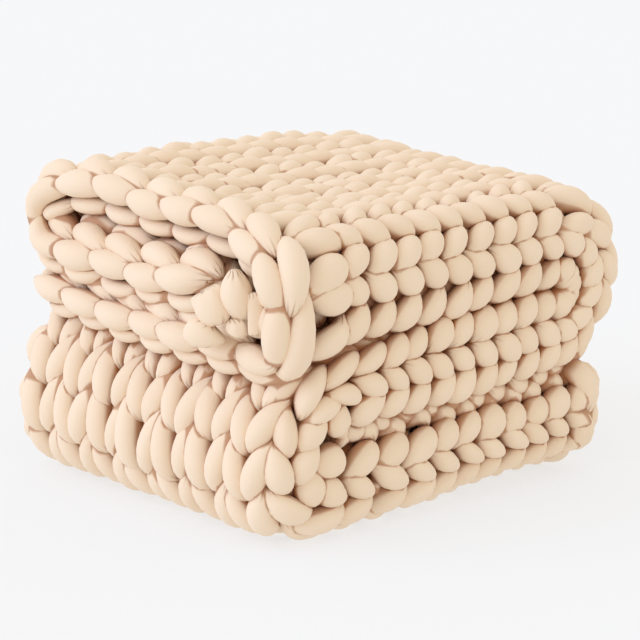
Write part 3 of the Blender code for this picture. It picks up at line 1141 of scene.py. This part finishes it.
@dataclass
class Graph:
    """The nodes of one material."""

    material: bpy.types.Material

    def node(self, kind: str, settings: dict, inputs: dict, output: int | str = 0) -> Value:
        """Add a node.

        Args:
            kind: The node's type.
            settings: Its settings, set before its sockets.
            inputs: Values or links of its sockets, by name or number.
            output: The socket that is wanted.

        Returns:
            That output.
        """
        tree = self.material.node_tree
        made = tree.nodes.new(kind)
        for key, value in settings.items():
            setattr(made, key, value)
        for key, value in inputs.items():
            if isinstance(value, Value):
                tree.links.new(value.socket, made.inputs[key])
            else:
                made.inputs[key].default_value = value
        return Value(self, made.outputs[output])

    def attribute(self, name: str) -> Value:
        """A number that each point of the mesh carries."""
        return self.node("ShaderNodeAttribute", {"attribute_name": name}, {}, "Fac")

    def noise(self, place: Value, scale: float, detail: float) -> Value:
        """Soft noise from 0 to 1."""
        sockets = {"Vector": place, "Scale": scale, "Detail": detail}
        return self.node("ShaderNodeTexNoise", {}, sockets)

    def ease(self, value: Value, zone: Zone) -> Value:
        """Ease from 0 to 1 over a zone of a value."""
        sockets = {0: value, 1: zone[0], 2: zone[1], 3: 0.0, 4: 1.0}
        return self.node("ShaderNodeMapRange", {"interpolation_type": "SMOOTHSTEP"}, sockets)

    def mix(self, share: Value, low: "Value | Colour", high: "Value | Colour") -> Value:
        """A colour between two."""
        sockets = {"Factor": share, 6: low, 7: high}
        return self.node("ShaderNodeMix", {"data_type": "RGBA"}, sockets, 2)

    def into(self, socket: bpy.types.NodeSocket, value: Value) -> None:
        """Link a value into a shader's socket."""
        self.material.node_tree.links.new(value.socket, socket)


@dataclass(frozen=True)
class Jersey:
    """Matt brushed jersey over a soft filling, gathered where the yarn is pinched, with shade
    painted into its creases, contacts and gathers.
    """

    slot: str = "sand_knit"
    fill: float = 0.8
    pale: Colour = (0.885, 0.722, 0.542, 1.0)
    deep: Colour = (0.835, 0.652, 0.466, 1.0)
    # Painted shade: the brown that creases, contacts and gathers darken towards.
    crease_shade: Colour = (0.40, 0.138, 0.034, 1.0)
    shade_zone: Zone = (0.58, 0.93)  # closeness at which painted shade comes in, towards the crease shade colour
    contact_shade_zone: Zone = (0.82, 1.12)  # touch at which a painted shade line shows where strands meet
    end_zone: Zone = (0.36, 0.74)  # distance from a strand's middle at which gathers begin
    fold_zone: Zone = (0.55, 1.0)  # part of a wave that is a fold
    # How dark each painted shade goes: in closed-in places, along touching strands and in the
    # gathers.
    shade_depth: float = 0.80
    contact_shade_depth: float = 0.68
    gather_shade_depth: float = 0.55
    gather_height: float = 0.0020  # metres
    fleck_height: float = 0.0002
    cloud_scale: float = 14.0  # to a metre
    fleck_scale: float = 420.0
    roughness: float = 0.9
    fold_count: int = 9

    def material(self) -> bpy.types.Material:
        """The material, made once and shared by the pieces of one finish."""
        name = self.slot + "_jersey"
        if name in bpy.data.materials:
            return bpy.data.materials[name]
        made = bpy.data.materials.new(name)
        made.use_nodes = True
        shader = made.node_tree.nodes["Principled BSDF"]
        graph = Graph(made)
        place = graph.node("ShaderNodeTexCoord", {}, {}, "Object")
        tone, closed, touch = map(graph.attribute, ("tone", "closed", "touch"))
        cloud = graph.noise(place, self.cloud_scale, 3.0)
        fleck = graph.noise(place, self.fleck_scale, 2.0)
        gather = self.gathers(graph, tone)
        ground = graph.mix(tone * 0.35 + cloud * 0.5 + fleck * 0.15, self.deep, self.pale)
        # Painted shade: the colour darkens towards the crease shade where neighbours close a place
        # in, in the gathers and along lines where strands touch.
        unshaded_share = 1.0 - graph.ease(closed, self.shade_zone) * self.shade_depth
        unshaded_share = unshaded_share * (1.0 - gather * self.gather_shade_depth)
        unshaded_share = unshaded_share * (1.0 - graph.ease(touch, self.contact_shade_zone) * self.contact_shade_depth)
        colour = graph.mix(1.0 - unshaded_share, ground, self.crease_shade)
        height = fleck * self.fleck_height - gather * self.gather_height
        sockets = {"Height": height, "Strength": 0.7, "Distance": 1.0}
        bump = graph.node("ShaderNodeBump", {}, sockets)
        graph.into(shader.inputs["Base Color"], colour)
        graph.into(shader.inputs["Normal"], bump)
        shader.inputs["Roughness"].default_value = self.roughness
        shader.inputs["Specular IOR Level"].default_value = 0.2
        shader.inputs["Sheen Weight"].default_value = 0.12
        shader.inputs["Sheen Roughness"].default_value = 0.5
        return made

    def gathers(self, graph: Graph, tone: Value) -> Value:
        """Fine folds that run in from the pinched ends of a strand: 1 in a fold, 0 elsewhere.

        Args:
            graph: The material's nodes.
            tone: The strand's own number.

        Returns:
            How much of a fold a place has.
        """
        strand = graph.node("ShaderNodeUVMap", {"uv_map": "strand"}, {})
        offset = graph.node("ShaderNodeCombineXYZ", {}, {0: tone * 31.0, 1: tone * 17.0})
        long = graph.node("ShaderNodeMapping", {}, {"Vector": strand, "Scale": (5.0, 3.0, 1.0)})
        moved = graph.node("ShaderNodeVectorMath", {"operation": "ADD"}, {0: long, 1: offset})
        noise = graph.noise(moved, 1.0, 2.0)
        turn = graph.node("ShaderNodeSeparateXYZ", {}, {0: strand}, "X")
        run = graph.node("ShaderNodeSeparateXYZ", {}, {0: strand}, "Y")
        ends = graph.ease((run * 2.0 - 1.0).size() + (noise - 0.5) * 0.5, self.end_zone)
        lines = (turn * (math.tau * self.fold_count) + noise * 7.0).wave()
        return graph.ease(lines, self.fold_zone) * ends

    def dress(self, mesh: bpy.types.Mesh, node: str, smooth: int) -> bpy.types.Object:
        """Make a padded piece of the block from a mesh.

        Args:
            mesh: The mesh, in the block's own place.
            node: The frame's node that the piece stands for.
            smooth: Levels of smoothing.

        Returns:
            The finished object.
        """
        piece = put(mesh.name, mesh)
        if smooth:
            subdivide = piece.modifiers.new("soften", "SUBSURF")
            subdivide.levels = subdivide.render_levels = smooth
        mesh.materials.append(self.material())
        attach(piece, "root")
        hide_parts(node)
        return piece


# ---- The room
@dataclass(frozen=True)
class Sun:
    """A wide soft light, as even over the floor as over the block."""

    name: str
    azimuth: float  # degrees round the block
    elevation: float
    power: float  # watts on a square metre
    softness: float  # degrees that it fills, seen from the block
    tint: tuple[float, float, float]


@dataclass
class Studio:
    """A pale floor, soft light and the camera."""

    target: tuple[float, float, float] = (-0.0056, 0.0026, 0.160)
    azimuth: float = 47.98
    elevation: float = 14.13
    distance: float = 2.864
    focal_px: float = 2662.0
    frame_px: int = 640
    sensor: float = 36.0
    floor_size: float = 30.0
    floor_paper: Colour = (0.25, 0.25, 0.25, 1.0)
    floor_glow: Colour = (0.665, 0.668, 0.672, 1.0)
    room_light: float = 0.95
    room_tint: Colour = (1.0, 0.975, 0.94, 1.0)
    suns: tuple[Sun, ...] = (
        Sun("key", -24.0, 24.0, 1.45, 60.0, (0.56, 0.67, 1.0)),
        Sun("top", 60.0, 80.0, 0.05, 60.0, (0.7, 0.9, 1.0)),
    )

    def stand(self, thing: bpy.types.Object, azimuth: float, elevation: float) -> None:
        """Stand a light or the camera round the block, turned towards it.

        Args:
            thing: The light or the camera.
            azimuth: Where it stands round the block, in degrees.
            elevation: How high it stands, in degrees.
        """
        turn, rise = math.radians(azimuth), math.radians(elevation)
        level = math.cos(rise)
        way = Vector((math.sin(turn) * level, -math.cos(turn) * level, math.sin(rise)))
        thing.location = Vector(self.target) + way * self.distance
        thing.rotation_euler = way.to_track_quat("Z", "Y").to_euler()

    def floor(self) -> None:
        """A plain pale floor."""
        bm = bmesh.new()
        bmesh.ops.create_grid(bm, x_segments=1, y_segments=1, size=self.floor_size)
        mesh = made_mesh(bm, "floor")
        paint = bpy.data.materials.new("floor_paper")
        paint.use_nodes = True
        shader = paint.node_tree.nodes["Principled BSDF"]
        shader.inputs["Base Color"].default_value = self.floor_paper
        shader.inputs["Roughness"].default_value = 1.0
        shader.inputs["Specular IOR Level"].default_value = 0.0
        shader.inputs["Emission Color"].default_value = self.floor_glow
        shader.inputs["Emission Strength"].default_value = 1.0
        mesh.materials.append(paint)
        put("floor", mesh)

    def camera(self) -> None:
        """The camera, at the block's front left corner."""
        data = bpy.data.cameras.new("camera")
        data.sensor_width = self.sensor
        data.lens = self.focal_px / self.frame_px * self.sensor
        camera = put("camera", data)
        self.stand(camera, self.azimuth, self.elevation)
        bpy.context.scene.camera = camera

    def light(self) -> None:
        """The lights and the pale room round the block."""
        world = bpy.data.worlds.new("room")
        world.use_nodes = True
        back = world.node_tree.nodes["Background"]
        back.inputs["Color"].default_value = self.room_tint
        back.inputs["Strength"].default_value = self.room_light
        bpy.context.scene.world = world
        bpy.context.scene.view_settings.view_transform = "Standard"
        for sun in self.suns:
            light = bpy.data.lights.new(sun.name, "SUN")
            light.energy = sun.power
            light.angle = math.radians(sun.softness)
            light.color = sun.tint
            self.stand(put(sun.name, light), sun.azimuth, sun.elevation)


PATCHES = {
    "top_stitches": (range(5, 11), range(18)),
    "near_side_stitches_upper": (range(11, 16), range(21)),
    "near_side_stitches_lower": (range(11, 16), range(21, 42)),
    "front_bend_stitches": (range(16, 21), range(22, 42)),
    "far_side_stitches": (range(4, 5), range(42)),
    "inner_stitches": (range(4), range(42)),
    "inner_stitches_top": (range(5, 11), range(18, 42)),
    "undermost_end_stitches": (range(16, 21), range(3)),
    "inner_stitches_under": (range(16, 21), range(3, 22)),
}


def main() -> None:
    """Build the blanket on its frame, then the room."""
    logging.basicConfig(level=logging.INFO, format="%(name)s: %(message)s")
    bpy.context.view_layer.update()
    fold = Fold()
    crowd = Crowd()
    knit = Knit(fold)
    pieces = []
    for name, (wales, courses) in PATCHES.items():
        strands = Strands(fold, crowd, name, smooth=0 if name.startswith("inner") else 1)
        for side in (1.0, -1.0):
            knit.lay(strands, knit.leg, knit.stitches(wales, courses), side)
        pieces.append(strands)
    backs = Strands(fold, crowd, "back_loops", sides=6, smooth=0)
    knit.lay(backs, knit.back, knit.stitches(range(WALES), range(2, COURSES)))
    pieces.append(backs)
    bumps = Strands(fold, crowd, "free_end_back_loops", round_yarn=True)
    knit.lay(bumps, knit.bump, knit.stitches(range(WALES), range(3), spare=0.1))
    pieces.append(bumps)
    for edge in Edge:
        chain = Strands(fold, crowd, edge.name.lower() + "_chain", sides=10, round_yarn=True)
        ChainEdge(fold, edge).lay(chain)
        pieces.append(chain)
    sides = Strands(fold, crowd, "selvedges", round_yarn=True)
    Selvedge(float(WALES), 1.0).lay(sides)
    Selvedge(0.0, -1.0).lay(sides)
    pieces.append(sides)
    for strands in pieces:
        strands.trace()
    crowd.settle()
    for strands in pieces:
        piece = strands.build(Jersey(), "knit_cloth")
        log.info("%s: %d strands", piece.name, len(strands.centre))
    for tail in (OUTER_END, INNER_END, SEWN_TAIL):
        piece = tail.build(Jersey(slot="sand_" + tail.node))
        log.info("%s: %d parts", piece.name, len(tail.parts))
    studio = Studio()
    studio.floor()
    studio.light()
    studio.camera()


if __name__ == "__main__":
    main()
